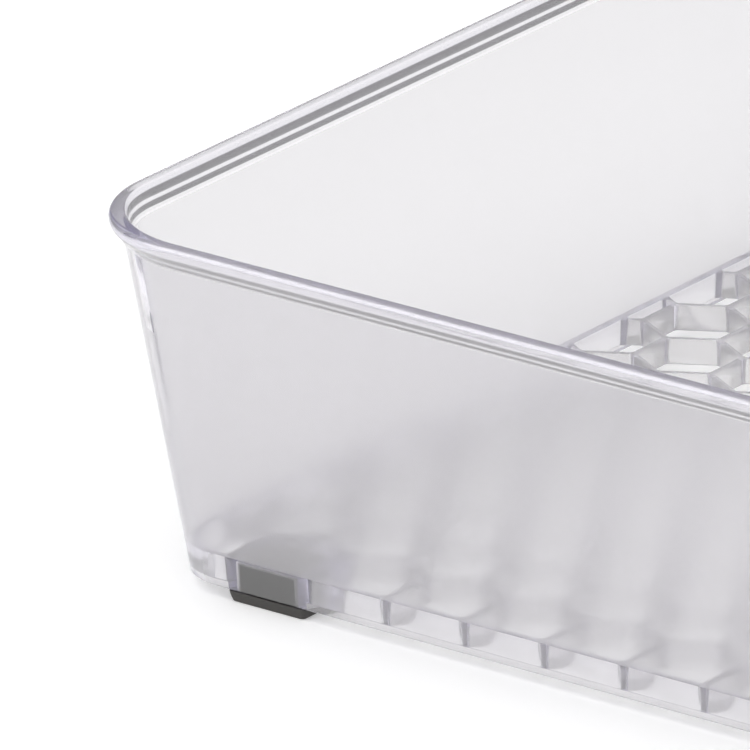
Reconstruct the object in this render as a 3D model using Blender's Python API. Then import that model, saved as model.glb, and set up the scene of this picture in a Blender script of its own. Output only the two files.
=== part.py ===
"""Clear fridge bin: a one-piece moulded tray with an open honeycomb floor, standing on four soft feet.

Metres, +Z up. The origin is on the surface the bin stands on, under the middle of the bin.
The front wall faces -Y and the two short walls face -X and +X.
"""

import math

import bmesh
import bpy
from mathutils import Vector

# Overall size, over the rim and down to the feet
WIDTH = 0.298
DEPTH = 0.320
HEIGHT = 0.100

# Walls
WALL = 0.0020
DRAFT = math.radians(10.25)
BASE_CORNER_RADIUS = 0.0160
CORNER_STEPS = 8
SHARP_ANGLE = math.radians(35)

# Rolled rim
RIM_OVERHANG = 0.0024
RIM_HEIGHT = 0.0034
RIM_CORNER_RADIUS = 0.0350
RIM_EASE = 0.0008

# Honeycomb floor, measured up from the lower edge of the walls
FLOOR_TOP = 0.0090
FLOOR_DEPTH = 0.0072
CELL_PITCH = 0.0244
RIB = 0.0014
SKIRT_WALL = 0.0020
CELL_LEDGE = 0.0003
SMALLEST_CELL_AREA = 4.0e-5
SHORTEST_EDGE = 2.0e-4

# Stacking lugs inside the corners, measured down from the top of the rim.
# LUG_TURN is the way a lug's outer side faces, turned from the X axis towards the Y axis.
LUG_START = 0.0042
LUG_LENGTH = 0.0240
LUG_WIDTH = 0.0054
LUG_REACH = 0.0016
LUG_POINT = 0.0060
LUG_TIP_REACH = 0.0002
LUG_TURN = math.radians(60)

# Soft feet
SOLE_THICKNESS = 0.0030
SOLE_WIDTH = 0.0240
SOLE_LENGTH = 0.0215
SOLE_CORNER_RADIUS = 0.0012
SOLE_CORNER_STEPS = 4
SOLE_TAPER = 0.0006
SOLE_EDGE_TAPER = 0.0002
SOLE_EDGE_HEIGHT = 0.0010
SOLE_SETBACK = 0.0002
PLUG_WIDTH = 0.0186
PLUG_LENGTH = 0.0160
PLUG_FRONT_WALL = 0.0024
SOCKET_ROOF = 0.0008
PLUG_CORNER_RADIUS = 0.0008
PLUG_STEPS = 12
PLUG_CLEARANCE = 0.0003
SEAT_GAP = 0.0003

# How far a cutter runs past the face that it opens
OVERCUT = 0.0010

SKIRT_Z = SOLE_THICKNESS + SEAT_GAP
FLOOR_Z = SKIRT_Z + FLOOR_TOP
FLOOR_UNDERSIDE_Z = FLOOR_Z - FLOOR_DEPTH
CELL_SIDE = CELL_PITCH / math.sqrt(3.0)
ROW_PITCH = 1.5 * CELL_SIDE
PLUG_TOP_Z = FLOOR_Z - SOCKET_ROOF - PLUG_CLEARANCE


# Outlines ------------------------------------------------------------------------------------


def wall_half(full_size, z):
    """Half of the size over the walls' outer faces at height z."""
    return full_size / 2 - RIM_OVERHANG - (HEIGHT - z) * math.tan(DRAFT)


def wall_radius(z):
    """Corner radius of the walls' outer faces at height z."""
    share = (z - SKIRT_Z) / (HEIGHT - SKIRT_Z)
    top_radius = RIM_CORNER_RADIUS - RIM_OVERHANG
    return BASE_CORNER_RADIUS + share * (top_radius - BASE_CORNER_RADIUS)


def rounded_rectangle(half_x, half_y, radius, steps=CORNER_STEPS):
    """Points of a rounded rectangle about the origin, anticlockwise from its +X +Y corner."""
    points = []
    for quarter, (sx, sy) in enumerate(((1, 1), (-1, 1), (-1, -1), (1, -1))):
        centre_x = sx * (half_x - radius)
        centre_y = sy * (half_y - radius)
        for step in range(steps + 1):
            angle = (quarter + step / steps) * math.pi / 2
            points.append((centre_x + radius * math.cos(angle), centre_y + radius * math.sin(angle)))
    return points


def wall_outline(z, inset=0.0):
    """Outline of the walls at height z, moved inwards by inset."""
    radius = max(wall_radius(z) - inset, WALL / 2)
    return rounded_rectangle(wall_half(WIDTH, z) - inset, wall_half(DEPTH, z) - inset, radius)


def rim_outline(inset):
    """Outline of the rim's outer face, moved inwards by inset."""
    return rounded_rectangle(WIDTH / 2 - inset, DEPTH / 2 - inset, RIM_CORNER_RADIUS - inset)


def keep_side(points, normal, limit):
    """Cut a convex outline to the points p with p . normal <= limit."""
    kept = []
    for index, here in enumerate(points):
        there = points[(index + 1) % len(points)]
        out_here = here[0] * normal[0] + here[1] * normal[1] - limit
        out_there = there[0] * normal[0] + there[1] * normal[1] - limit
        if out_here <= 0:
            kept.append(here)
        if (out_here < 0 < out_there) or (out_there < 0 < out_here):
            share = out_here / (out_here - out_there)
            kept.append((here[0] + share * (there[0] - here[0]), here[1] + share * (there[1] - here[1])))
    return kept


def keep_inside(points, boundary):
    """Cut a convex outline to the inside of a convex anticlockwise boundary."""
    for index, start in enumerate(boundary):
        end = boundary[(index + 1) % len(boundary)]
        along = Vector((end[0] - start[0], end[1] - start[1]))
        if along.length < SHORTEST_EDGE or not points:
            continue
        normal = (along.y / along.length, -along.x / along.length)
        points = keep_side(points, normal, start[0] * normal[0] + start[1] * normal[1])
    return points


def drop_short_edges(points):
    """Leave out points that stand closer than SHORTEST_EDGE to the one before."""
    kept = []
    for index, here in enumerate(points):
        before = points[index - 1]
        if math.dist(here, before) > SHORTEST_EDGE:
            kept.append(here)
    return kept


def area(points):
    """Area of an anticlockwise outline."""
    total = 0.0
    for index, here in enumerate(points):
        there = points[(index + 1) % len(points)]
        total += here[0] * there[1] - there[0] * here[1]
    return total / 2


# Honeycomb layout ----------------------------------------------------------------------------


def last_row():
    """Number of the outermost row of cells, counted from the middle row."""
    reach = wall_half(DEPTH, SKIRT_Z) - SKIRT_WALL - CELL_SIDE / 2 - WALL
    return int(reach // ROW_PITCH)


def foot_column():
    """Number of the outer-row cell that holds a foot, counted from the middle cell."""
    reach = wall_half(WIDTH, SKIRT_Z) - BASE_CORNER_RADIUS - CELL_PITCH / 2
    return int(reach // CELL_PITCH)


def first_offset(row):
    """Where the cells of a row start along X: alternate rows are moved by half a cell."""
    steps_from_edge = last_row() - abs(row)
    return 0.0 if steps_from_edge % 2 == 0 else CELL_PITCH / 2


def cell_outline(centre_x, row, rib):
    """Outline of one cell, half a rib inside its neighbours' shared lines.

    A cell of the outermost rows runs straight on to the wall in place of its outer point.
    """
    centre_y = row * ROW_PITCH
    reach = CELL_PITCH / 2 - rib / 2
    size = DEPTH
    points = [(-size, -size), (size, -size), (size, size), (-size, size)]
    points = [(x + centre_x, y + centre_y) for x, y in points]
    outward_turns = (1, 2) if row > 0 else (4, 5)
    for turn in range(6):
        if abs(row) == last_row() and turn in outward_turns:
            continue
        angle = turn * math.pi / 3
        normal = (math.cos(angle), math.sin(angle))
        points = keep_side(points, normal, centre_x * normal[0] + centre_y * normal[1] + reach)
    return points


def honeycomb_cells():
    """Outlines of every open cell of the floor, cut back to the inside of the skirt."""
    boundary = wall_outline(SKIRT_Z, SKIRT_WALL + CELL_LEDGE)
    columns = int(WIDTH / CELL_PITCH) + 2
    foot_x = foot_column() * CELL_PITCH
    cells = []
    for row in range(-last_row(), last_row() + 1):
        for column in range(-columns, columns + 1):
            centre_x = first_offset(row) + column * CELL_PITCH
            holds_foot = abs(row) == last_row() and abs(abs(centre_x) - foot_x) < CELL_PITCH / 4
            if holds_foot:
                continue
            points = drop_short_edges(keep_inside(cell_outline(centre_x, row, RIB), boundary))
            if len(points) > 2 and area(points) > SMALLEST_CELL_AREA:
                cells.append(points)
    return cells


def foot_places():
    """Name, centre X and side of Y (-1 front, +1 back) of each foot."""
    foot_x = foot_column() * CELL_PITCH
    return (
        ("foot_front_left", -foot_x, -1),
        ("foot_front_right", foot_x, -1),
        ("foot_back_left", -foot_x, 1),
        ("foot_back_right", foot_x, 1),
    )


def socket_notches(side):
    """Points of the recess's front (side -1) or back (side +1) edge, round its two foot sockets."""
    inner_y = side * (wall_half(DEPTH, SKIRT_Z) - SKIRT_WALL)
    side_y = side * (last_row() * ROW_PITCH - CELL_SIDE / 2)
    apex_y = side * (last_row() * ROW_PITCH - CELL_SIDE)
    foot_x = foot_column() * CELL_PITCH
    half_cell = side * CELL_PITCH / 2
    points = []
    for x in (side * foot_x, -side * foot_x):
        points.append((x + half_cell, inner_y))
        points.append((x + half_cell, side_y))
        points.append((x, apex_y))
        points.append((x - half_cell, side_y))
        points.append((x - half_cell, inner_y))
    return points


def recess_outline():
    """Space under the floor inside the skirt, with a notch round each foot's socket."""
    ring = wall_outline(SKIRT_Z, SKIRT_WALL)
    corner = CORNER_STEPS + 1
    back_left = 2 * corner
    back_edge = ring[:corner] + socket_notches(1) + ring[corner:back_left]
    front_edge = ring[back_left:back_left + corner] + socket_notches(-1) + ring[back_left + corner:]
    return back_edge + front_edge


def plug_outline(grow=0.0):
    """Outline of a foot's plug seen from above: square at the wall (-Y), round at the back."""
    half = PLUG_WIDTH / 2 + grow
    front = -grow
    back = PLUG_LENGTH + grow
    ease = PLUG_CORNER_RADIUS
    arc_centre = back - half
    points = [(-half, front + ease), (-half + ease, front), (half - ease, front), (half, front + ease)]
    for step in range(PLUG_STEPS + 1):
        angle = math.pi * step / PLUG_STEPS
        points.append((half * math.cos(angle), arc_centre + half * math.sin(angle)))
    return points


# Solids --------------------------------------------------------------------------------------


def stack(name, levels):
    """Closed solid through outlines of equal point count, given as (outline, z) from low to high."""
    shape = bmesh.new()
    rings = []
    for outline, z in levels:
        rings.append([shape.verts.new((x, y, z)) for x, y in outline])
    for lower, upper in zip(rings, rings[1:]):
        for index in range(len(lower)):
            after = (index + 1) % len(lower)
            shape.faces.new((lower[index], lower[after], upper[after], upper[index]))
    shape.faces.new(list(reversed(rings[0])))
    shape.faces.new(rings[-1])
    return to_object(name, shape)


def to_object(name, shape):
    """Turn an edit mesh into a named object in the scene."""
    bmesh.ops.recalc_face_normals(shape, faces=shape.faces)
    mesh = bpy.data.meshes.new(name)
    shape.to_mesh(mesh)
    shape.free()
    made = bpy.data.objects.new(name, mesh)
    bpy.context.scene.collection.objects.link(made)
    return made


def prisms(name, outlines, low_z, high_z):
    """One object holding an upright prism for each outline."""
    shape = bmesh.new()
    for outline in outlines:
        low = [shape.verts.new((x, y, low_z)) for x, y in outline]
        high = [shape.verts.new((x, y, high_z)) for x, y in outline]
        for index in range(len(low)):
            after = (index + 1) % len(low)
            shape.faces.new((low[index], low[after], high[after], high[index]))
        shape.faces.new(list(reversed(low)))
        shape.faces.new(high)
    return to_object(name, shape)


def combine(target, tool, operation):
    """Cut the tool from the target, or join it on, and keep the tool as a hidden guide."""
    change = target.modifiers.new(tool.name, "BOOLEAN")
    change.operation = operation
    change.solver = "EXACT"
    change.object = tool
    tool.hide_render = True
    tool.display_type = "WIRE"


def tray_blank():
    """The tray's outside as one full solid: drafted walls under a rolled rim."""
    rim_z = HEIGHT - RIM_HEIGHT
    return stack("tray", (
        (wall_outline(SKIRT_Z), SKIRT_Z),
        (wall_outline(FLOOR_Z), FLOOR_Z),
        (wall_outline(rim_z), rim_z),
        (rim_outline(RIM_EASE), rim_z),
        (rim_outline(0.0), rim_z + RIM_EASE),
        (rim_outline(0.0), HEIGHT - RIM_EASE),
        (rim_outline(RIM_EASE), HEIGHT),
    ))


def cavity():
    """The space that food goes in, from the floor up through the mouth."""
    mouth_z = HEIGHT - RIM_EASE
    return stack("cavity", (
        (wall_outline(FLOOR_Z, WALL), FLOOR_Z),
        (wall_outline(mouth_z, WALL), mouth_z),
        (wall_outline(HEIGHT, WALL - RIM_EASE), HEIGHT),
        (wall_outline(HEIGHT, WALL - RIM_EASE), HEIGHT + OVERCUT),
    ))


def underside_recess():
    """The shallow space under the floor, inside the skirt."""
    outline = recess_outline()
    return prisms("underside_recess", [outline], SKIRT_Z - OVERCUT, FLOOR_UNDERSIDE_Z)


def foot_sockets():
    """The blind pockets that the feet's plugs press into from below."""
    outlines = []
    for _, x, side in foot_places():
        front = wall_half(DEPTH, SKIRT_Z) - PLUG_FRONT_WALL
        outline = [(x + px, side * (front - py)) for px, py in plug_outline(PLUG_CLEARANCE)]
        outlines.append(outline)
    return prisms("foot_sockets", outlines, SKIRT_Z - OVERCUT, PLUG_TOP_Z + PLUG_CLEARANCE)


def corner_face(z, inset):
    """Point of the back-right corner's curved wall where its lug stands, at height z."""
    radius = wall_radius(z)
    reach = radius - inset
    x = wall_half(WIDTH, z) - radius + reach * math.cos(LUG_TURN)
    y = wall_half(DEPTH, z) - radius + reach * math.sin(LUG_TURN)
    return (x, y)


def stacking_lugs():
    """A narrow pointed rib down the inside of each corner, which a nested bin rests on."""
    shape = bmesh.new()
    high = HEIGHT - LUG_START
    low = high - LUG_LENGTH
    levels = (
        (high, WALL / 2, WALL + LUG_REACH),
        (low + LUG_POINT, WALL / 2, WALL + LUG_REACH),
        (low, WALL / 2, WALL + LUG_TIP_REACH),
    )
    for side_x, side_y in ((1, 1), (-1, 1), (-1, -1), (1, -1)):
        across = Vector((-side_y * math.sin(LUG_TURN), side_x * math.cos(LUG_TURN), 0.0)) * (LUG_WIDTH / 2)
        rings = []
        for z, outer, inner in levels:
            ring = []
            for inset, way in ((outer, -1), (outer, 1), (inner, 1), (inner, -1)):
                x, y = corner_face(z, inset)
                ring.append(shape.verts.new(Vector((side_x * x, side_y * y, z)) + across * way))
            rings.append(ring)
        for upper, lower in zip(rings, rings[1:]):
            for index in range(4):
                after = (index + 1) % 4
                shape.faces.new((upper[index], upper[after], lower[after], lower[index]))
        shape.faces.new(rings[0])
        shape.faces.new(list(reversed(rings[-1])))
    return to_object("stacking_lugs", shape)


def build_tray(material):
    """The moulded tray: walls, rim, honeycomb floor, foot sockets and stacking lugs in one piece."""
    tray = tray_blank()
    combine(tray, cavity(), "DIFFERENCE")
    combine(tray, underside_recess(), "DIFFERENCE")
    cells = prisms("cells", honeycomb_cells(), FLOOR_UNDERSIDE_Z - OVERCUT / 2, FLOOR_Z + OVERCUT)
    combine(tray, cells, "DIFFERENCE")
    combine(tray, foot_sockets(), "DIFFERENCE")
    combine(tray, stacking_lugs(), "UNION")
    tray.data.materials.append(material)
    tray.data.shade_smooth()
    tray.data.set_sharp_from_angle(angle=SHARP_ANGLE)
    return tray


def sole_outline(inset):
    """Outline of a foot's sole under the front wall, moved inwards by inset."""
    centre_y = -wall_half(DEPTH, SKIRT_Z) + SOLE_SETBACK + SOLE_LENGTH / 2
    half_x = SOLE_WIDTH / 2 - inset
    half_y = SOLE_LENGTH / 2 - inset
    outline = rounded_rectangle(half_x, half_y, SOLE_CORNER_RADIUS, SOLE_CORNER_STEPS)
    return [(x, y + centre_y) for x, y in outline]


def build_foot(name, x, side, material):
    """One soft foot: a tapered sole under the wall's lower edge and a plug up into the socket."""
    foot = stack(name, (
        (sole_outline(SOLE_TAPER), 0.0),
        (sole_outline(SOLE_EDGE_TAPER), SOLE_EDGE_HEIGHT),
        (sole_outline(0.0), SOLE_THICKNESS),
    ))
    plug_front = PLUG_FRONT_WALL - wall_half(DEPTH, SKIRT_Z)
    outline = [(px, py + plug_front) for px, py in plug_outline()]
    plug = prisms(name + "_plug", [outline], SOLE_THICKNESS / 2, PLUG_TOP_Z)
    combine(foot, plug, "UNION")
    for piece in (foot, plug):
        piece.location = (x, 0.0, 0.0)
        piece.rotation_euler = (0.0, 0.0, math.pi * (side + 1) / 2)
    foot.data.materials.append(material)
    foot.data.shade_smooth()
    foot.data.set_sharp_from_angle(angle=SHARP_ANGLE)
    return foot


# Materials -----------------------------------------------------------------------------------


def plastic(name, colour, roughness, transmission):
    """A plain moulded plastic."""
    material = bpy.data.materials.new(name)
    material.use_nodes = True
    shader = material.node_tree.nodes["Principled BSDF"]
    shader.inputs["Base Color"].default_value = (*colour, 1.0)
    shader.inputs["Roughness"].default_value = roughness
    shader.inputs["Metallic"].default_value = 0.0
    shader.inputs["Transmission Weight"].default_value = transmission
    return material


def main():
    """Clear the scene and build the bin."""
    for old in list(bpy.data.objects):
        bpy.data.objects.remove(old, do_unlink=True)
    build_tray(plastic("clear_plastic", (0.90, 0.90, 0.93), 0.20, 0.9))
    for name, x, side in foot_places():
        build_foot(name, x, side, plastic(name + "_rubber", (0.070, 0.066, 0.062), 0.60, 0.0))


main()
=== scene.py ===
# Looks of a clear fridge bin: a frosted tray with a soft rolled rim and an open honeycomb floor, standing
# on four soft feet. Metres, +Z up, with the origin on the shelf under the middle of the bin.

import logging
import math
from dataclasses import dataclass, field
from enum import Enum

import bmesh
import bpy
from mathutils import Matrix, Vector
from mathutils.geometry import tessellate_polygon


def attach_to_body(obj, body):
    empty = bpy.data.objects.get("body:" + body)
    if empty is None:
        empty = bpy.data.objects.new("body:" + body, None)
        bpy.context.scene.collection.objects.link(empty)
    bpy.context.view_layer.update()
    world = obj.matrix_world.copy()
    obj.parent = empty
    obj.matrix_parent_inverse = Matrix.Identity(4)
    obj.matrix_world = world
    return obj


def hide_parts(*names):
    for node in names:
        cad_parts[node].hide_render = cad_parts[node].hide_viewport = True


Point2 = tuple[float, float]
Outline = list[Point2]
Colour = tuple[float, float, float]
Ring = list[bmesh.types.BMVert]

BODY = "root"
LOG = logging.getLogger("fridge_bin")

QUARTER = math.pi / 2
SIX_SIDES = 6

# The longest part of a side that the rounding of one of its corners takes.
LARGEST_TRIM = 0.42
# Limits how far the tip of a very sharp corner moves when its sides move in.
SHARPEST_TIP = 0.2
# A shorter side of a boundary has no reliable direction and cuts nothing.
SHORTEST_CUT = 1.0e-4
# How far the foot's plug stands in from the outside of the wall.
PLUG_FRONT_WALL = 0.0024
# The middle of an eased edge stands in and down by this share of the ease.
EASED_CORNER = 0.3

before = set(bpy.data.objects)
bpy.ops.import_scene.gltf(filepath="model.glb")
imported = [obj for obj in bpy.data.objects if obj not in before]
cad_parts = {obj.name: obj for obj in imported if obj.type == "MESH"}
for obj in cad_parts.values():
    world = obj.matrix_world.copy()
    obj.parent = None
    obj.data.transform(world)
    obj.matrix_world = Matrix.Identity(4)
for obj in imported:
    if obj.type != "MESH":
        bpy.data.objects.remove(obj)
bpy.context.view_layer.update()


class Slot(Enum):
    """The record's material slots."""

    CLEAR_PLASTIC = "clear_plastic"
    FOOT_RUBBER = "foot_rubber"


class Surface(Enum):
    """How a moulded face is finished, as the share of frosting on it."""

    POLISHED = 0.0
    MOULDED = 0.25
    SOFT = 0.5
    SATIN = 0.85
    FROSTED = 1.0


FROST_LAYER = "frost"


# Outlines ------------------------------------------------------------------------------------


def bezier_corner(before: Point2, corner: Point2, after: Point2, radius: float, steps: int) -> Outline:
    """Round one corner of an outline.

    Args:
        before: The outline's point before the corner.
        corner: The sharp corner.
        after: The outline's point after the corner.
        radius: Radius of the rounding.
        steps: Number of short edges in the rounding.

    Returns:
        The points that take the corner's place.
    """
    tip = Vector(corner)
    back = Vector(before) - tip
    ahead = Vector(after) - tip
    half_angle = back.angle(ahead) / 2
    trim = min(radius / math.tan(half_angle), LARGEST_TRIM * back.length, LARGEST_TRIM * ahead.length)
    start = tip + back.normalized() * trim
    end = tip + ahead.normalized() * trim
    points = []
    for step in range(steps + 1):
        share = step / steps
        spot = start * (1 - share) ** 2 + tip * (2 * share * (1 - share)) + end * share ** 2
        points.append((spot.x, spot.y))
    return points


def rounded(outline: Outline, radius: float, steps: int) -> Outline:
    """Round every corner of a convex outline.

    Args:
        outline: The sharp outline.
        radius: Radius of the rounding.
        steps: Number of short edges at each corner.

    Returns:
        The rounded outline, with steps + 1 points for each corner.
    """
    points = []
    for index, corner in enumerate(outline):
        after = outline[(index + 1) % len(outline)]
        points.extend(bezier_corner(outline[index - 1], corner, after, radius, steps))
    return points


def moved_in(outline: Outline, distance: float) -> Outline:
    """Move every side of a convex anticlockwise outline inwards.

    Args:
        outline: The outline.
        distance: How far the sides move; a negative distance moves them outwards.

    Returns:
        The new outline, with as many points.
    """
    points = []
    for index, here in enumerate(outline):
        spot = Vector(here)
        into = (spot - Vector(outline[index - 1])).normalized()
        out_of = (Vector(outline[(index + 1) % len(outline)]) - spot).normalized()
        first = Vector((-into.y, into.x))
        second = Vector((-out_of.y, out_of.x))
        step = (first + second) / max(1 + first.dot(second), SHARPEST_TIP)
        spot = spot + step * distance
        points.append((spot.x, spot.y))
    return points


def without_short_sides(outline: Outline, shortest: float) -> Outline:
    """Leave out points that stand closer than a shortest side to the last point kept.

    Args:
        outline: The outline.
        shortest: The shortest side to keep.

    Returns:
        The thinned outline.
    """
    kept: Outline = []
    for here in outline:
        if not kept or math.dist(here, kept[-1]) > shortest:
            kept.append(here)
    if len(kept) > 1 and math.dist(kept[0], kept[-1]) <= shortest:
        kept.pop()
    return kept


def cut_to_line(outline: Outline, normal: Point2, limit: float) -> Outline:
    """Keep the part of a convex outline where p . normal is at most limit.

    Args:
        outline: The outline.
        normal: Unit normal of the cutting line.
        limit: Distance of the line from the origin along the normal.

    Returns:
        The outline of the part that is kept.
    """
    kept: Outline = []
    for index, here in enumerate(outline):
        there = outline[(index + 1) % len(outline)]
        out_here = here[0] * normal[0] + here[1] * normal[1] - limit
        out_there = there[0] * normal[0] + there[1] * normal[1] - limit
        if out_here <= 0:
            kept.append(here)
        if (out_here < 0 < out_there) or (out_there < 0 < out_here):
            share = out_here / (out_here - out_there)
            kept.append((here[0] + share * (there[0] - here[0]), here[1] + share * (there[1] - here[1])))
    return kept


def cut_to_outline(outline: Outline, boundary: Outline) -> Outline:
    """Keep the part of a convex outline that lies inside a convex anticlockwise boundary.

    Args:
        outline: The outline.
        boundary: The boundary.

    Returns:
        The outline of the part that is kept.
    """
    for index, start in enumerate(boundary):
        end = boundary[(index + 1) % len(boundary)]
        length = math.dist(start, end)
        if length > SHORTEST_CUT and outline:
            normal = ((end[1] - start[1]) / length, (start[0] - end[0]) / length)
            outline = cut_to_line(outline, normal, start[0] * normal[0] + start[1] * normal[1])
    return outline


def outline_area(outline: Outline) -> float:
    """Area of an anticlockwise outline.

    Args:
        outline: The outline.

    Returns:
        Its area in square metres.
    """
    pairs = zip(outline, outline[1:] + outline[:1])
    return sum(here[0] * there[1] - there[0] * here[1] for here, there in pairs) / 2


# Mesh work -----------------------------------------------------------------------------------


@dataclass
class Moulding:
    """A closed moulded shape that is built ring by ring.

    Each face carries the finish of its surface in a layer that the plastic reads.
    """

    name: str
    shape: bmesh.types.BMesh = field(default_factory=bmesh.new)

    def __post_init__(self) -> None:
        """Add the layer that holds the finish of each face."""
        self.frost = self.shape.faces.layers.float.new(FROST_LAYER)

    def ring(self, outline: Outline, z: float) -> Ring:
        """Add the points of an outline.

        Args:
            outline: The outline.
            z: Its height.

        Returns:
            The new points in order.
        """
        return [self.shape.verts.new((x, y, z)) for x, y in outline]

    def bridge(
        self,
        low: Ring,
        high: Ring,
        surface: Surface,
        polished: frozenset[int] = frozenset(),
    ) -> None:
        """Join two rings of equal count with a band of faces.

        Args:
            low: The first ring.
            high: The second ring.
            surface: The band's finish.
            polished: Places in the ring whose faces stay polished.
        """
        for index, here in enumerate(low):
            after = (index + 1) % len(low)
            face = self.shape.faces.new((here, low[after], high[after], high[index]))
            keeps_polish = index in polished or after in polished
            face[self.frost] = (Surface.POLISHED if keeps_polish else surface).value

    def sheet(
        self,
        edge: Ring,
        holes: list[Ring],
        surface: Surface,
    ) -> None:
        """Fill a level face with openings in it.

        Args:
            edge: The points round its outside.
            holes: The points round each opening.
            surface: The face's finish.
        """
        loops = [edge, *holes]
        points = [vert for loop in loops for vert in loop]
        for triangle in tessellate_polygon([[vert.co.copy() for vert in loop] for loop in loops]):
            corners = [points[index] for index in triangle]
            if len(set(corners)) == 3 and self.shape.faces.get(corners) is None:
                face = self.shape.faces.new(corners)
                face[self.frost] = surface.value

    def finish(self, sharp_angle: float) -> bpy.types.Object:
        """Turn the shape into an object with smooth faces and sharp edges.

        Args:
            sharp_angle: Faces that meet at a larger angle than this keep a crisp edge.

        Returns:
            The object.
        """
        bmesh.ops.recalc_face_normals(self.shape, faces=self.shape.faces)
        mesh = bpy.data.meshes.new(self.name)
        self.shape.to_mesh(mesh)
        self.shape.free()
        mesh.shade_smooth()
        mesh.set_sharp_from_angle(angle=sharp_angle)
        made = bpy.data.objects.new(self.name, mesh)
        bpy.context.scene.collection.objects.link(made)
        return made


# Finishes ------------------------------------------------------------------------------------


@dataclass
class NodeBench:
    """A short hand for wiring one material's nodes."""

    material: bpy.types.Material

    def __post_init__(self) -> None:
        """Clear the material's node tree and add its output."""
        self.material.use_nodes = True
        self.tree = self.material.node_tree
        self.tree.nodes.clear()
        self.output = self.tree.nodes.new("ShaderNodeOutputMaterial")

    def add(self, kind: str, **values: object) -> bpy.types.Node:
        """Add a node.

        Args:
            kind: The node's type.
            values: Settings of the node by name.

        Returns:
            The node.
        """
        node = self.tree.nodes.new(kind)
        for key, value in values.items():
            setattr(node, key, value)
        return node

    def link(self, source: bpy.types.NodeSocket, target: bpy.types.NodeSocket) -> None:
        """Wire one socket to another."""
        self.tree.links.new(source, target)

    def noise(self, scale: float, detail: float, place: bpy.types.NodeSocket) -> bpy.types.NodeSocket:
        """Add a noise pattern.

        Args:
            scale: Waves per metre.
            detail: Number of finer layers.
            place: The coordinates it reads.

        Returns:
            The pattern's value.
        """
        node = self.add("ShaderNodeTexNoise")
        node.inputs["Scale"].default_value = scale
        node.inputs["Detail"].default_value = detail
        self.link(place, node.inputs["Vector"])
        return node.outputs["Fac"]

    def spread(self, source: bpy.types.NodeSocket, low: float, high: float) -> bpy.types.NodeSocket:
        """Turn a pattern into a range of values.

        Args:
            source: The pattern, from 0 to 1.
            low: The value where the pattern is weak.
            high: The value where it is strong.

        Returns:
            The value.
        """
        node = self.add("ShaderNodeMapRange")
        node.inputs["To Min"].default_value = low
        node.inputs["To Max"].default_value = high
        self.link(source, node.inputs["Value"])
        return node.outputs["Result"]

    def two_tones(self, source: bpy.types.NodeSocket, weak: Colour, strong: Colour) -> bpy.types.NodeSocket:
        """Colour a pattern from one tone to another.

        Args:
            source: The pattern, from 0 to 1.
            weak: The tone where the pattern is weak.
            strong: The tone where it is strong.

        Returns:
            The colour.
        """
        node = self.add("ShaderNodeValToRGB")
        node.color_ramp.elements[0].color = (*weak, 1.0)
        node.color_ramp.elements[1].color = (*strong, 1.0)
        self.link(source, node.inputs["Fac"])
        return node.outputs["Color"]

    def relief(self, pattern: bpy.types.NodeSocket, height: float) -> bpy.types.Node:
        """Raise a pattern on the surface.

        Args:
            pattern: The pattern.
            height: How high it stands, in metres.

        Returns:
            The node, whose Normal output carries the relief.
        """
        node = self.add("ShaderNodeBump")
        node.inputs["Distance"].default_value = height
        self.link(pattern, node.inputs["Height"])
        return node


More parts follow.
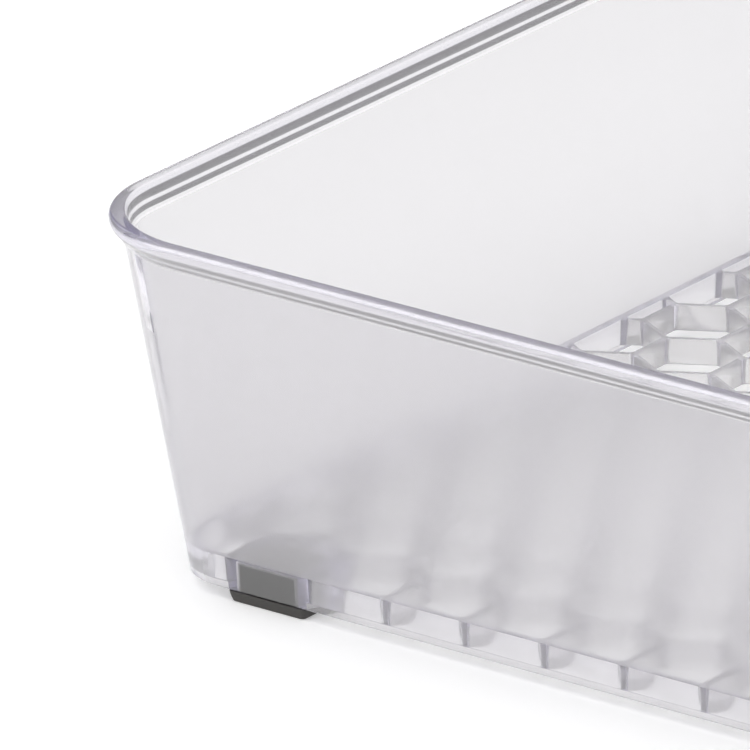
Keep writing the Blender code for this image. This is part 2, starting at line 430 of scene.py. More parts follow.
@dataclass(frozen=True)
class ClearPlastic:
    """Clear moulded plastic, polished or etched to a frost face by face.

    frosted_roughness stays below 0.27: patches that crossed it had a thin line round them.
    """

    tint: Colour = (0.995, 0.988, 0.984)
    patch_shade: float = 0.992
    polished_roughness: tuple[float, float] = (0.015, 0.05)
    frosted_roughness: tuple[float, float] = (0.215, 0.255)
    frost_bite: float = 2.0
    frosted_haze: float = 0.30
    index_of_refraction: float = 1.52
    patch_scale: float = 24.0
    patch_detail: float = 1.0
    ripple_scale: float = 40.0
    ripple_detail: float = 2.0
    ripple_height: float = 2.0e-6
    grain_scale: float = 900.0
    grain_detail: float = 2.0
    grain_height: float = 2.0e-6
    body_colour: Colour = (0.52, 0.46, 0.84)
    body_density: float = 26.0

    def frosting(
        self,
        bench: NodeBench,
        shader: bpy.types.Node,
        frost: bpy.types.NodeSocket,
        patches: bpy.types.NodeSocket,
    ) -> None:
        """Make the plastic rougher and hazier where it is frosted.

        Args:
            bench: The material's nodes.
            shader: The plastic's shader.
            frost: The share of frosting on the face.
            patches: The pattern of its uneven patches.
        """
        bite = bench.add("ShaderNodeMath", operation="POWER")
        bench.link(frost, bite.inputs[0])
        bite.inputs[1].default_value = self.frost_bite
        blend = bench.add("ShaderNodeMix", data_type="FLOAT")
        bench.link(bite.outputs["Value"], blend.inputs["Factor"])
        bench.link(bench.spread(patches, *self.polished_roughness), blend.inputs["A"])
        bench.link(bench.spread(patches, *self.frosted_roughness), blend.inputs["B"])
        bench.link(blend.outputs["Result"], shader.inputs["Roughness"])

        clearness = bench.add("ShaderNodeMath", operation="MULTIPLY_ADD")
        bench.link(frost, clearness.inputs[0])
        clearness.inputs[1].default_value = -self.frosted_haze
        clearness.inputs[2].default_value = 1.0
        bench.link(clearness.outputs["Value"], shader.inputs["Transmission Weight"])

    def make(self, name: str) -> bpy.types.Material:
        """Make the plastic.

        Args:
            name: Name of the material.

        Returns:
            The material.
        """
        material = bpy.data.materials.new(name)
        bench = NodeBench(material)
        shader = bench.add("ShaderNodeBsdfPrincipled")
        shader.inputs["IOR"].default_value = self.index_of_refraction
        place = bench.add("ShaderNodeTexCoord").outputs["Object"]
        patches = bench.noise(self.patch_scale, self.patch_detail, place)
        layer = bench.add("ShaderNodeAttribute", attribute_name=FROST_LAYER, attribute_type="GEOMETRY")
        frost = layer.outputs["Fac"]
        self.frosting(bench, shader, frost, patches)

        shade = tuple(part * self.patch_shade for part in self.tint)
        bench.link(bench.two_tones(patches, shade, self.tint), shader.inputs["Base Color"])

        ripple = bench.relief(bench.noise(self.ripple_scale, self.ripple_detail, place), self.ripple_height)
        grain = bench.relief(bench.noise(self.grain_scale, self.grain_detail, place), self.grain_height)
        bench.link(frost, grain.inputs["Strength"])
        bench.link(ripple.outputs["Normal"], grain.inputs["Normal"])
        bench.link(grain.outputs["Normal"], shader.inputs["Normal"])

        body = bench.add("ShaderNodeVolumeAbsorption")
        body.inputs["Color"].default_value = (*self.body_colour, 1.0)
        body.inputs["Density"].default_value = self.body_density
        bench.link(shader.outputs["BSDF"], bench.output.inputs["Surface"])
        bench.link(body.outputs["Volume"], bench.output.inputs["Volume"])
        return material


@dataclass(frozen=True)
class FootRubber:
    """Soft dark rubber with a fine matt grain and dusty patches."""

    dark: Colour = (0.047, 0.044, 0.041)
    light: Colour = (0.067, 0.064, 0.060)
    roughness: tuple[float, float] = (0.48, 0.66)
    sheen_level: float = 0.45
    patch_scale: float = 140.0
    patch_detail: float = 4.0
    grain_scale: float = 1800.0
    grain_detail: float = 3.0
    grain_height: float = 6.0e-5
    grain_strength: float = 0.5

    def make(self, name: str) -> bpy.types.Material:
        """Make the rubber.

        Args:
            name: Name of the material.

        Returns:
            The material.
        """
        material = bpy.data.materials.new(name)
        bench = NodeBench(material)
        shader = bench.add("ShaderNodeBsdfPrincipled")
        shader.inputs["Specular IOR Level"].default_value = self.sheen_level
        place = bench.add("ShaderNodeTexCoord").outputs["Object"]
        patches = bench.noise(self.patch_scale, self.patch_detail, place)
        bench.link(bench.two_tones(patches, self.dark, self.light), shader.inputs["Base Color"])
        bench.link(bench.spread(patches, *self.roughness), shader.inputs["Roughness"])
        grain = bench.relief(bench.noise(self.grain_scale, self.grain_detail, place), self.grain_height)
        grain.inputs["Strength"].default_value = self.grain_strength
        bench.link(grain.outputs["Normal"], shader.inputs["Normal"])
        bench.link(shader.outputs["BSDF"], bench.output.inputs["Surface"])
        return material


# The tray ------------------------------------------------------------------------------------


@dataclass(frozen=True)
class WallSize:
    """Sizes of the drafted walls, outside."""

    width: float = 0.298
    depth: float = 0.320
    height: float = 0.100
    low_edge: float = 0.0033
    draft: float = math.radians(10.25)
    overhang: float = 0.0024
    thickness: float = 0.0020
    base_radius: float = 0.0160
    rim_radius: float = 0.0350
    corner_steps: int = 22

    def half(self, full: float, z: float) -> float:
        """Half of the size over the outer faces at a height."""
        return full / 2 - self.overhang - (self.height - z) * math.tan(self.draft)

    def radius(self, z: float) -> float:
        """Corner radius of the outer faces at a height."""
        share = (z - self.low_edge) / (self.height - self.low_edge)
        return self.base_radius + share * (self.rim_radius - self.overhang - self.base_radius)


@dataclass
class StackingLug:
    """The pointed rib down the inside of each corner, which a nested bin rests on.

    turn is the way its outer side faces, as a share of the turn from the X axis to the Y axis.
    """

    start: float = 0.0042
    length: float = 0.0240
    width: float = 0.0054
    turn: float = 2 / 3
    reach: float = 0.0012
    point: float = 0.0060
    flank: float = 0.0006

    def reach_at(self, drop: float) -> float:
        """How far the lug stands in from the wall.

        Args:
            drop: Distance below the top of the rim.

        Returns:
            The reach, nothing above and below the lug.
        """
        if drop < self.start or drop > self.start + self.length:
            return 0.0
        left = self.start + self.length - drop
        return self.reach * min(1.0, left / self.point)


@dataclass
class Honeycomb:
    """The open floor: tapered ribs with eased corners round six-sided cells.

    widest_cell is the size, in cells, of the square that each cell is cut from.
    """

    top: float = 0.0123
    underside: float = 0.0051
    pitch: float = 0.0244
    rib_at_base: float = 0.0010
    rib_taper: float = 0.0003
    edge_ease: float = 0.00025
    corner_radius: float = 0.0016
    corner_steps: int = 4
    skirt_wall: float = 0.0020
    ledge: float = 0.0003
    smallest_area: float = 4.0e-5
    shortest_side: float = 0.0011
    widest_cell: float = 20.0

    @property
    def side(self) -> float:
        """Length of a cell's side."""
        return self.pitch / math.sqrt(3.0)

    @property
    def row_pitch(self) -> float:
        """Distance between rows of cells."""
        return 1.5 * self.side

    def last_row(self, walls: WallSize) -> int:
        """Number of the outermost row of cells, counted from the middle row."""
        half = walls.half(walls.depth, walls.low_edge)
        return int((half - self.skirt_wall - self.side / 2 - walls.thickness) // self.row_pitch)

    def foot_x(self, walls: WallSize) -> float:
        """Distance of the feet from the middle of the bin along X."""
        reach = walls.half(walls.width, walls.low_edge) - walls.base_radius - self.pitch / 2
        return int(reach // self.pitch) * self.pitch

    def cell(self, centre_x: float, row: int, last: int) -> Outline:
        """Outline of one cell at the foot of its ribs, before it is cut to the wall.

        Args:
            centre_x: Place of the cell along X.
            row: Row number, counted from the middle.
            last: Number of the outermost row, whose cells run straight on to the wall.

        Returns:
            The outline.
        """
        centre_y = row * self.row_pitch
        reach = self.pitch / 2 - self.rib_at_base / 2
        far = self.widest_cell * self.pitch
        square = ((-far, -far), (far, -far), (far, far), (-far, far))
        points = [(x + centre_x, y + centre_y) for x, y in square]
        outward = (1, 2) if row > 0 else (4, 5)
        for turn in range(SIX_SIDES):
            if abs(row) == last and turn in outward:
                continue
            angle = turn * math.tau / SIX_SIDES
            normal = (math.cos(angle), math.sin(angle))
            points = cut_to_line(points, normal, centre_x * normal[0] + centre_y * normal[1] + reach)
        return points

    def cells(self, walls: WallSize, boundary: Outline) -> list[Outline]:
        """Outlines of every open cell at the foot of its ribs.

        Args:
            walls: Sizes of the walls round the floor.
            boundary: Inside of the skirt.

        Returns:
            The outlines.
        """
        last = self.last_row(walls)
        foot_x = self.foot_x(walls)
        columns = int(walls.width / self.pitch) + 2
        found = []
        for row in range(-last, last + 1):
            offset = 0.0 if (last - abs(row)) % 2 == 0 else self.pitch / 2
            for column in range(-columns, columns + 1):
                centre_x = offset + column * self.pitch
                if abs(row) == last and abs(abs(centre_x) - foot_x) < self.pitch / 4:
                    continue
                points = cut_to_outline(self.cell(centre_x, row, last), boundary)
                points = without_short_sides(points, self.shortest_side)
                if len(points) > 2 and outline_area(points) > self.smallest_area:
                    found.append(points)
        return found

    def levels(self) -> list[tuple[float, float]]:
        """How far a cell's sides stand in from their base, at each height from low to high."""
        return [
            (-self.edge_ease / 2, self.underside),
            (0.0, self.underside + self.edge_ease),
            (self.rib_taper, self.top - self.edge_ease),
            (self.rib_taper - self.edge_ease * EASED_CORNER, self.top - self.edge_ease * EASED_CORNER),
            (self.rib_taper - self.edge_ease, self.top),
        ]


@dataclass(frozen=True)
class ProfilePoint:
    """One point of the wall's section.

    inset is measured in from the wall's outer face, or from the rim's outer face where on_rim is set.
    finish is the surface between this point and the next.
    """

    z: float
    inset: float
    finish: Surface
    on_rim: bool = False
    takes_lug: bool = False


@dataclass
class Tray:
    """The one-piece moulded tray: walls, rolled rim, corner lugs, honeycomb floor and foot sockets.

    Each point of rim_belly is a drop below the top and an inset from the rim's outer face. Each point of
    neck is a drop below the top and how far the neck stands out from the wall.
    """

    walls: WallSize = field(default_factory=WallSize)
    lug: StackingLug = field(default_factory=StackingLug)
    floor: Honeycomb = field(default_factory=Honeycomb)
    plastic: ClearPlastic = field(default_factory=ClearPlastic)
    rim_crown: float = 0.0016
    rim_inner_ease: float = 0.0009
    rim_steps: int = 10
    rim_belly: tuple[tuple[float, float], ...] = (
        (0.0022, 0.00002),
        (0.0026, 0.00010),
        (0.0030, 0.00030),
        (0.0034, 0.00066),
    )
    neck: tuple[tuple[float, float], ...] = (
        (0.0038, 0.00203),
        (0.0042, 0.00170),
        (0.0046, 0.00137),
        (0.0050, 0.00122),
        (0.0054, 0.00114),
        (0.0057, 0.00096),
        (0.0061, 0.00062),
        (0.0066, 0.00020),
        (0.0070, 0.00004),
        (0.0074, 0.00000),
    )
    frost_drop: float = 0.0072
    lug_root: float = 0.0002
    lug_clearance: float = 1.5
    low_band: float = 0.030
    skirt_ease: float = 0.0003
    socket_half: float = 0.0096
    socket_length: float = 0.0166
    socket_roof: float = 0.0008
    socket_steps: int = 16
    sharp_angle: float = math.radians(32)

    def section(self) -> list[ProfilePoint]:
        """The wall's section, from its lower edge up the outside, over the rim and down to the floor.

        Returns:
            The section's points in order.
        """
        top = self.walls.height
        wall = self.walls.thickness
        floor = self.floor
        low_edge = self.walls.low_edge
        points = [
            ProfilePoint(low_edge, self.skirt_ease, Surface.POLISHED),
            ProfilePoint(low_edge + self.skirt_ease, 0.0, Surface.SOFT),
            ProfilePoint(floor.underside, 0.0, Surface.SOFT),
            ProfilePoint(floor.top, 0.0, Surface.MOULDED),
            ProfilePoint(floor.top + self.low_band, 0.0, Surface.MOULDED),
        ]
        for drop, reach in reversed(self.neck):
            points.append(ProfilePoint(top - drop, -reach, Surface.SOFT))
        for drop, inset in reversed(self.rim_belly):
            points.append(ProfilePoint(top - drop, inset, Surface.SOFT, on_rim=True))
        turns = [step / self.rim_steps * QUARTER for step in range(self.rim_steps + 1)]
        for turn in turns:
            z = top - self.rim_crown * (1 - math.sin(turn))
            inset = self.rim_crown * (1 - math.cos(turn))
            points.append(ProfilePoint(z, inset, Surface.SOFT, on_rim=True))
        for turn in turns:
            z = top - self.rim_inner_ease * (1 - math.cos(turn))
            inset = wall - self.rim_inner_ease * (1 - math.sin(turn))
            points.append(ProfilePoint(z, inset, Surface.SOFT))
        lug = self.lug
        lug_low = lug.start + lug.length
        points.append(ProfilePoint(top - lug.start + self.lug_root, wall, Surface.SOFT))
        points.append(ProfilePoint(top - lug.start, wall, Surface.SOFT, takes_lug=True))
        for drop in (self.frost_drop, lug_low - lug.point, lug_low - lug.point / 2, lug_low):
            points.append(ProfilePoint(top - drop, wall, Surface.FROSTED, takes_lug=True))
        points.append(ProfilePoint(floor.top + self.low_band, wall, Surface.FROSTED))
        points.append(ProfilePoint(floor.top, wall, Surface.POLISHED))
        return points

    def corner_turns(self, radius: float) -> list[tuple[float, bool]]:
        """Places of the points round a corner, from the side that faces X to the side that faces Y.

        Args:
            radius: Radius of the wall where the lug stands.

        Returns:
            For each point its turn from 0 to 1 and whether it is on the lug's crest.
        """
        middle = self.lug.turn
        half = self.lug.width / 2 / radius / QUARTER
        flank = self.lug.flank / radius / QUARTER
        crest = [middle - half + flank, middle - half / 3, middle + half / 3, middle + half - flank]
        sides = [middle - half, middle + half]
        turns = [(spot, True) for spot in crest] + [(spot, False) for spot in sides]
        for step in range(self.walls.corner_steps + 1):
            spot = step / self.walls.corner_steps
            if abs(spot - middle) > half + self.lug_clearance * flank:
                turns.append((spot, False))
        return sorted(turns)

    def outline(self, point: ProfilePoint, turns: list[tuple[float, bool]]) -> Outline:
        """Outline of the walls through one point of their section.

        Args:
            point: The point of the section.
            turns: Places of the points round each corner.

        Returns:
            The outline, anticlockwise from the +X +Y corner.
        """
        walls = self.walls
        if point.on_rim:
            half_x = walls.width / 2
            half_y = walls.depth / 2
            radius = walls.rim_radius
        else:
            half_x = walls.half(walls.width, point.z)
            half_y = walls.half(walls.depth, point.z)
            radius = walls.radius(point.z)
        drop = walls.height - point.z
        reach = self.lug.reach_at(drop) if point.takes_lug else 0.0
        points = []
        for quarter, (side_x, side_y) in enumerate(((1, 1), (-1, 1), (-1, -1), (1, -1))):
            centre_x = side_x * (half_x - radius)
            centre_y = side_y * (half_y - radius)
            from_x = side_x == side_y
            for turn, on_crest in turns if from_x else reversed(turns):
                angle = (quarter + (turn if from_x else 1 - turn)) * QUARTER
                away = radius - point.inset - (reach if on_crest else 0.0)
                points.append((centre_x + away * math.cos(angle), centre_y + away * math.sin(angle)))
        return points

    def notches(self, side: int) -> Outline:
        """Edge of the underside recess round the two foot sockets of one long side.

        Args:
            side: -1 for the front and 1 for the back.

        Returns:
            The points, anticlockwise.
        """
        floor = self.floor
        row_y = floor.last_row(self.walls) * floor.row_pitch
        inner = side * (self.walls.half(self.walls.depth, self.walls.low_edge) - floor.skirt_wall)
        near = side * (row_y - floor.side / 2)
        apex = side * (row_y - floor.side)
        half = side * floor.pitch / 2
        points: Outline = []
        for x in (side * floor.foot_x(self.walls), -side * floor.foot_x(self.walls)):
            points += [(x + half, inner), (x + half, near), (x, apex), (x - half, near), (x - half, inner)]
        return points

    def recess(self, ring: Outline) -> Outline:
        """Outline of the space under the floor.

        Args:
            ring: Inside of the skirt.

        Returns:
            The ring with a notch round each foot socket.
        """
        corner = len(ring) // 4
        back = ring[:corner] + self.notches(1) + ring[corner:2 * corner]
        front = ring[2 * corner:3 * corner] + self.notches(-1) + ring[3 * corner:]
        return back + front

    def socket(self, x: float, side: int) -> Outline:
        """Outline of one foot socket, anticlockwise seen from above.

        Args:
            x: Place of the foot along X.
            side: -1 for the front and 1 for the back.

        Returns:
            The outline.
        """
        front = self.walls.half(self.walls.depth, self.walls.low_edge) - PLUG_FRONT_WALL
        half = self.socket_half
        back = self.socket_length
        points = [(-half, 0.0), (half, 0.0)]
        for step in range(self.socket_steps + 1):
            angle = math.pi * step / self.socket_steps
            points.append((half * math.cos(angle), back - half + half * math.sin(angle)))
        if side < 0:
            return [(x + px, -front + py) for px, py in points]
        return [(x - px, front - py) for px, py in points]

    def wall_rings(self, moulding: Moulding, turns: list[tuple[float, bool]]) -> list[Ring]:
        """Build the walls, the rim and the lugs.

        Args:
            moulding: The shape to add them to.
            turns: Places of the points round each corner.

        Returns:
            The rings of points, the first at the skirt's edge and the last at the floor.
        """
        section = self.section()
        rings = [moulding.ring(self.outline(point, turns), point.z) for point in section]
        round_trip = (turns + turns[::-1]) * 2
        crests = frozenset(index for index, (_, crest) in enumerate(round_trip) if crest)
        for index, (point, ring) in enumerate(zip(section[:-1], rings)):
            on_lug = point.takes_lug and section[index + 1].takes_lug
            moulding.bridge(ring, rings[index + 1], point.finish, crests if on_lug else frozenset())
        return rings

    def cell_walls(self, moulding: Moulding, boundary: Outline) -> list[list[Ring]]:
        """Build the sides of every cell of the floor.

        Args:
            moulding: The shape to add them to.
            boundary: Outline that the cells are cut to.

        Returns:
            For each cell its rings of points from low to high.
        """
        columns = []
        for cell in self.floor.cells(self.walls, boundary):
            stack = []
            for inset, z in self.floor.levels():
                soft = rounded(moved_in(cell, inset), self.floor.corner_radius, self.floor.corner_steps)
                stack.append(moulding.ring(soft, z))
            for low, high in zip(stack, stack[1:]):
                moulding.bridge(low, high, Surface.SATIN)
            columns.append(stack)
        return columns

    def socket_walls(self, moulding: Moulding) -> list[Ring]:
        """Build the four foot sockets.

        Args:
            moulding: The shape to add them to.

        Returns:
            The ring of points at each socket's mouth.
        """
        mouths = []
        foot_x = self.floor.foot_x(self.walls)
        for x in (-foot_x, foot_x):
            for side in (-1, 1):
                outline = self.socket(x, side)
                mouth = moulding.ring(outline, self.walls.low_edge)
                roof = moulding.ring(outline, self.floor.top - self.socket_roof)
                moulding.bridge(mouth, roof, Surface.SATIN)
                moulding.sheet(roof, [], Surface.SATIN)
                mouths.append(mouth)
        return mouths

    def build(self) -> bpy.types.Object:
        """Build the tray as one closed mesh and dress it.

        Returns:
            The tray.
        """
        moulding = Moulding("tray_moulding")
        turns = self.corner_turns(self.walls.radius(self.walls.height - self.lug.start))
        rings = self.wall_rings(moulding, turns)

        skirt = ProfilePoint(self.walls.low_edge, self.floor.skirt_wall, Surface.POLISHED)
        inside = self.outline(skirt, turns)
        columns = self.cell_walls(moulding, moved_in(inside, self.floor.ledge))
        moulding.sheet(rings[-1], [stack[-1] for stack in columns], Surface.SATIN)

        recess = self.recess(inside)
        recess_top = moulding.ring(recess, self.floor.underside)
        recess_low = moulding.ring(recess, self.walls.low_edge)
        moulding.sheet(recess_top, [stack[0] for stack in columns], Surface.SATIN)
        moulding.bridge(recess_top, recess_low, Surface.SATIN)

        mouths = self.socket_walls(moulding)
        moulding.sheet(rings[0], [recess_low, *mouths], Surface.POLISHED)
        tray = moulding.finish(self.sharp_angle)
        tray.data.materials.append(self.plastic.make("frosted_clear_plastic"))
        return tray


# The feet ------------------------------------------------------------------------------------


@dataclass
class Foot:
    """One soft foot: a tapered sole with eased edges and a plug up into the tray's socket.

    taper_at_middle and taper_near_top are shares of the sole's taper, so that its sides bow a little.
    """

    name: str
    x: float
    side: int
    wall_y: float
    rubber: FootRubber = field(default_factory=FootRubber)
    sole_width: float = 0.0240
    sole_length: float = 0.0215
    sole_thickness: float = 0.0030
    sole_taper: float = 0.0006
    sole_radius: float = 0.0012
    sole_setback: float = 0.0002
    edge_ease: float = 0.0005
    ease_steps: int = 4
    plug_width: float = 0.0186
    plug_length: float = 0.0160
    plug_top: float = 0.0112
    plug_radius: float = 0.0008
    plug_corner_steps: int = 3
    plug_back_steps: int = 18
    sole_corner_steps: int = 8
    taper_at_middle: float = 0.45
    taper_near_top: float = 0.12
    ease_at_top: float = 0.4
    sharp_angle: float = math.radians(40)

    def sole(self, inset: float) -> Outline:
        """Outline of the sole about its own middle.

        Args:
            inset: How far it is moved in.

        Returns:
            The outline, anticlockwise.
        """
        half_x = self.sole_width / 2 - inset
        half_y = self.sole_length / 2 - inset
        centre_y = self.sole_setback + self.sole_length / 2 - self.wall_y
        corners = [(half_x, half_y), (-half_x, half_y), (-half_x, -half_y), (half_x, -half_y)]
        points: Outline = []
        for quarter, (corner_x, corner_y) in enumerate(corners):
            radius = self.sole_radius
            middle_x = corner_x - math.copysign(radius, corner_x)
            middle_y = corner_y - math.copysign(radius, corner_y)
            for step in range(self.sole_corner_steps + 1):
                angle = (quarter + step / self.sole_corner_steps) * QUARTER
                x = middle_x + radius * math.cos(angle)
                points.append((x, centre_y + middle_y + radius * math.sin(angle)))
        return points

    def plug(self, inset: float) -> Outline:
        """Outline of the plug: square at the wall and round at the back.

        Args:
            inset: How far it is moved in.

        Returns:
            The outline, anticlockwise.
        """
        half = self.plug_width / 2 - inset
        front = PLUG_FRONT_WALL - self.wall_y + inset
        back = front + self.plug_length - 2 * inset
        sides = [(-half, back - half), (-half, front), (half, front), (half, back - half)]
        points = bezier_corner(*sides[:3], self.plug_radius, self.plug_corner_steps)
        points += bezier_corner(*sides[1:], self.plug_radius, self.plug_corner_steps)
        for step in range(self.plug_back_steps + 1):
            angle = math.pi * step / self.plug_back_steps
            points.append((half * math.cos(angle), back - half + half * math.sin(angle)))
        return points

    def placed(self, outline: Outline) -> Outline:
        """Put an outline of the front foot where this foot stands."""
        if self.side < 0:
            return [(self.x + x, y) for x, y in outline]
        return [(self.x - x, -y) for x, y in outline]

    def build(self) -> bpy.types.Object:
        """Build the foot as one closed mesh and dress it.

        Returns:
            The foot.
        """
        moulding = Moulding(self.name + "_pad")
        thick = self.sole_thickness
        ease = self.edge_ease
        levels = []
        for step in range(self.ease_steps + 1):
            turn = step / self.ease_steps * QUARTER
            inset = self.sole_taper + ease * (1 - math.sin(turn))
            levels.append((inset, ease * (1 - math.cos(turn))))
        levels.append((self.sole_taper * self.taper_at_middle, thick / 2))
        levels.append((self.sole_taper * self.taper_near_top, thick - ease))
        levels.append((0.0, thick - ease * self.ease_at_top))
        levels.append((ease * EASED_CORNER, thick))
        rings = [moulding.ring(self.placed(self.sole(inset)), z) for inset, z in levels]
        plug_levels = [
            (0.0, thick),
            (0.0, self.plug_top - ease),
            (ease * EASED_CORNER, self.plug_top - ease * EASED_CORNER),
            (ease, self.plug_top),
        ]
        plug_rings = [moulding.ring(self.placed(self.plug(inset)), z) for inset, z in plug_levels]
        for stack in (rings, plug_rings):
            for low, high in zip(stack, stack[1:]):
                moulding.bridge(low, high, Surface.POLISHED)
        moulding.sheet(rings[-1], [plug_rings[0]], Surface.POLISHED)
        moulding.sheet(rings[0], [], Surface.POLISHED)
        moulding.sheet(plug_rings[-1], [], Surface.POLISHED)
        foot = moulding.finish(self.sharp_angle)
        foot.data.materials.append(self.rubber.make(self.name + "_rubber"))
        return foot


# The studio ----------------------------------------------------------------------------------


@dataclass(frozen=True)
class PaleFloor:
    """A plain pale matt floor with faint mottling and a faint glow, with painted light round the bin: its
    colour and glow are painted dimmer far from the bin.

    pool is where the painted dimming starts and ends, as distances from the bin, and painted_far_share is
    the painted share of colour and glow left beyond it.
    """

    light: Colour = (0.90, 0.90, 0.90)
    dark: Colour = (0.885, 0.885, 0.885)
    glow: float = 0.24
    roughness: float = 0.85
    sheen_level: float = 0.1
    mottle_scale: float = 3.0
    mottle_detail: float = 3.0
    # Painted light round the bin: colour and glow fall from full strength near it to the far share beyond
    # it.
    painted_light_pool: tuple[float, float] = (0.75, 1.9)
    painted_far_share: float = 0.22

    def make(self, name: str) -> bpy.types.Material:
        """Make the floor's finish.

        Args:
            name: Name of the material.

        Returns:
            The material.
        """
        material = bpy.data.materials.new(name)
        bench = NodeBench(material)
        shader = bench.add("ShaderNodeBsdfPrincipled")
        shader.inputs["Roughness"].default_value = self.roughness
        shader.inputs["Specular IOR Level"].default_value = self.sheen_level
        shader.inputs["Emission Strength"].default_value = self.glow
        place = bench.add("ShaderNodeTexCoord").outputs["Object"]
        mottle = bench.noise(self.mottle_scale, self.mottle_detail, place)
        # Painted shade: the floor's colour and glow are scaled down with distance from the bin, leaving
        # painted light round it.
        away = bench.add("ShaderNodeVectorMath", operation="LENGTH")
        bench.link(place, away.inputs[0])
        painted_light_pool = bench.add("ShaderNodeMapRange", interpolation_type="SMOOTHSTEP")
        bench.link(away.outputs["Value"], painted_light_pool.inputs["Value"])
        painted_light_pool.inputs["From Min"].default_value = self.painted_light_pool[0]
        painted_light_pool.inputs["From Max"].default_value = self.painted_light_pool[1]
        painted_light_pool.inputs["To Min"].default_value = 1.0
        painted_light_pool.inputs["To Max"].default_value = self.painted_far_share
        shaded = bench.add("ShaderNodeVectorMath", operation="SCALE")
        bench.link(bench.two_tones(mottle, self.dark, self.light), shaded.inputs[0])
        bench.link(painted_light_pool.outputs["Result"], shaded.inputs["Scale"])
        bench.link(shaded.outputs["Vector"], shader.inputs["Base Color"])
        bench.link(shaded.outputs["Vector"], shader.inputs["Emission Color"])
        bench.link(shader.outputs["BSDF"], bench.output.inputs["Surface"])
        return material


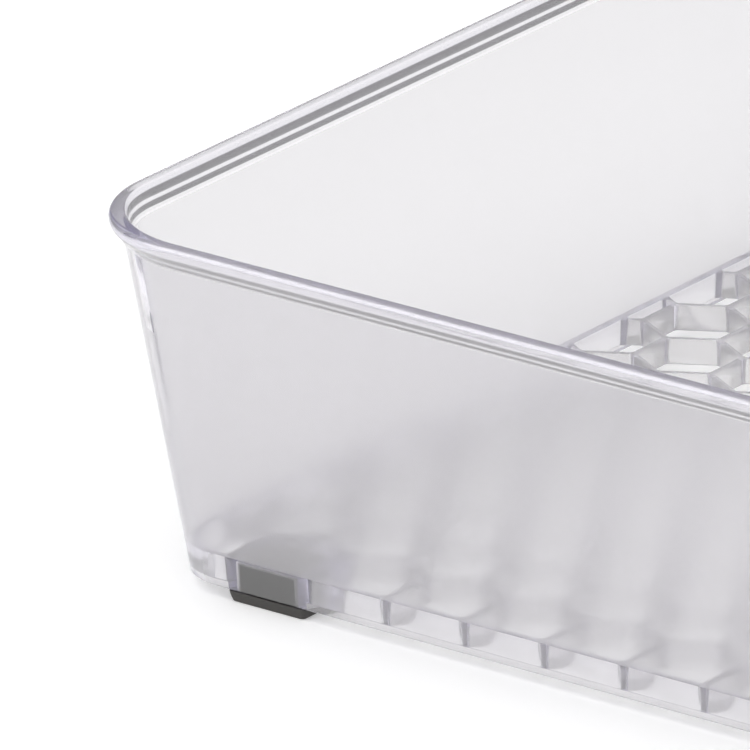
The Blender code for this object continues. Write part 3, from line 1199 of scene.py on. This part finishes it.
@dataclass
class Studio:
    """A pale floor, soft light from all round that is stronger on the camera's side, and the camera.

    sky_top and sky_horizon are the sky's strength high up and low down, sky_near is how many times stronger
    it is towards near_side, and climb and turn_range are the ranges over which it changes.
    """

    floor_size: float = 60.0
    floor_squares: int = 8
    camera_place: tuple[float, float, float] = (2.6708, -3.8457, 1.8551)
    camera_aim: tuple[float, float, float] = (-0.09746, -0.09391, 0.04933)
    sensor: float = 36.0
    lens: float = 952.83
    farthest: float = 100.0
    sky_top: float = 1.08
    sky_horizon: float = 0.22
    climb: tuple[float, float] = (0.25, 0.70)
    sky_near: float = 1.36
    near_side: tuple[float, float, float] = (0.55, -0.80, 0.25)
    turn_range: tuple[float, float] = (-0.1, 0.8)
    sun_strength: float = 0.95
    sun_angle: float = math.radians(60)
    sun_tilt: tuple[float, float, float] = (math.radians(28), math.radians(-24), 0.0)
    bounces: int = 24
    transmission_bounces: int = 20
    glossy_bounces: int = 8
    transparent_bounces: int = 16

    def lay_floor(self) -> bpy.types.Object:
        """Lay the floor.

        Returns:
            The floor.
        """
        shape = bmesh.new()
        squares = self.floor_squares
        bmesh.ops.create_grid(shape, x_segments=squares, y_segments=squares, size=self.floor_size / 2)
        mesh = bpy.data.meshes.new("studio_floor")
        shape.to_mesh(mesh)
        shape.free()
        floor = bpy.data.objects.new("studio_floor", mesh)
        bpy.context.scene.collection.objects.link(floor)
        mesh.materials.append(PaleFloor().make("pale_floor"))
        return floor

    def light_sky(self) -> None:
        """Light the studio from all round, more strongly from high up and from the camera's side."""
        world = bpy.data.worlds.new("studio_light")
        bpy.context.scene.world = world
        world.use_nodes = True
        tree = world.node_tree
        tree.nodes.clear()
        output = tree.nodes.new("ShaderNodeOutputWorld")
        backdrop = tree.nodes.new("ShaderNodeBackground")
        place = tree.nodes.new("ShaderNodeTexCoord")
        aim = tree.nodes.new("ShaderNodeVectorMath")
        aim.operation = "DOT_PRODUCT"
        aim.inputs[1].default_value = Vector(self.near_side).normalized()
        split = tree.nodes.new("ShaderNodeSeparateXYZ")
        both = tree.nodes.new("ShaderNodeMath")
        both.operation = "MULTIPLY"
        tree.links.new(place.outputs["Generated"], aim.inputs[0])
        tree.links.new(place.outputs["Generated"], split.inputs[0])
        sources = (aim.outputs["Value"], split.outputs["Z"])
        ranges = (self.turn_range, self.climb)
        strengths = ((1.0, self.sky_near), (self.sky_horizon, self.sky_top))
        for source, (start, end), (low, high), target in zip(sources, ranges, strengths, both.inputs):
            change = tree.nodes.new("ShaderNodeMapRange")
            change.interpolation_type = "SMOOTHSTEP"
            change.inputs["From Min"].default_value = start
            change.inputs["From Max"].default_value = end
            change.inputs["To Min"].default_value = low
            change.inputs["To Max"].default_value = high
            tree.links.new(source, change.inputs["Value"])
            tree.links.new(change.outputs["Result"], target)
        tree.links.new(both.outputs["Value"], backdrop.inputs["Strength"])
        tree.links.new(backdrop.outputs["Background"], output.inputs["Surface"])

    def hang_sun(self) -> None:
        """Hang one wide soft light overhead."""
        lamp = bpy.data.lights.new("soft_overhead", "SUN")
        lamp.energy = self.sun_strength
        lamp.angle = self.sun_angle
        light = bpy.data.objects.new("soft_overhead", lamp)
        light.rotation_euler = self.sun_tilt
        bpy.context.scene.collection.objects.link(light)

    def place_camera(self) -> None:
        """Stand the camera well back, with a long lens."""
        data = bpy.data.cameras.new("camera")
        data.sensor_width = self.sensor
        data.lens = self.lens
        data.clip_end = self.farthest
        camera = bpy.data.objects.new("camera", data)
        camera.location = self.camera_place
        aim = Vector(self.camera_aim) - Vector(self.camera_place)
        camera.rotation_euler = aim.to_track_quat("-Z", "Y").to_euler()
        bpy.context.scene.collection.objects.link(camera)
        bpy.context.scene.camera = camera

    def set_up(self) -> bpy.types.Object:
        """Set up the whole studio.

        Returns:
            The floor.
        """
        scene = bpy.context.scene
        scene.view_settings.view_transform = "Standard"
        scene.cycles.max_bounces = self.bounces
        scene.cycles.transmission_bounces = self.transmission_bounces
        scene.cycles.glossy_bounces = self.glossy_bounces
        scene.cycles.transparent_max_bounces = self.transparent_bounces
        scene.cycles.caustics_refractive = True
        scene.cycles.caustics_reflective = True
        self.light_sky()
        self.hang_sun()
        self.place_camera()
        return self.lay_floor()


# Putting it together -------------------------------------------------------------------------


def attach(piece: bpy.types.Object, node: str) -> None:
    """Let a piece stand for a node of the frame.

    Args:
        piece: The finished piece.
        node: The node that it replaces.
    """
    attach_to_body(piece, BODY)
    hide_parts(node)
    LOG.info("%s stands for %s: %d faces", piece.name, node, len(piece.data.polygons))


def main() -> None:
    """Build the bin and its studio."""
    logging.basicConfig(level=logging.INFO, format="%(message)s")
    floor = Studio().set_up()
    tray = Tray()
    attach(tray.build(), "tray")
    foot_x = tray.floor.foot_x(tray.walls)
    wall_y = tray.walls.half(tray.walls.depth, tray.walls.low_edge)
    for name, x, side in (
        ("foot_front_left", -foot_x, -1),
        ("foot_front_right", foot_x, -1),
        ("foot_back_left", -foot_x, 1),
        ("foot_back_right", foot_x, 1),
    ):
        attach(Foot(name, x, side, wall_y).build(), name)


if __name__ == "__main__":
    main()
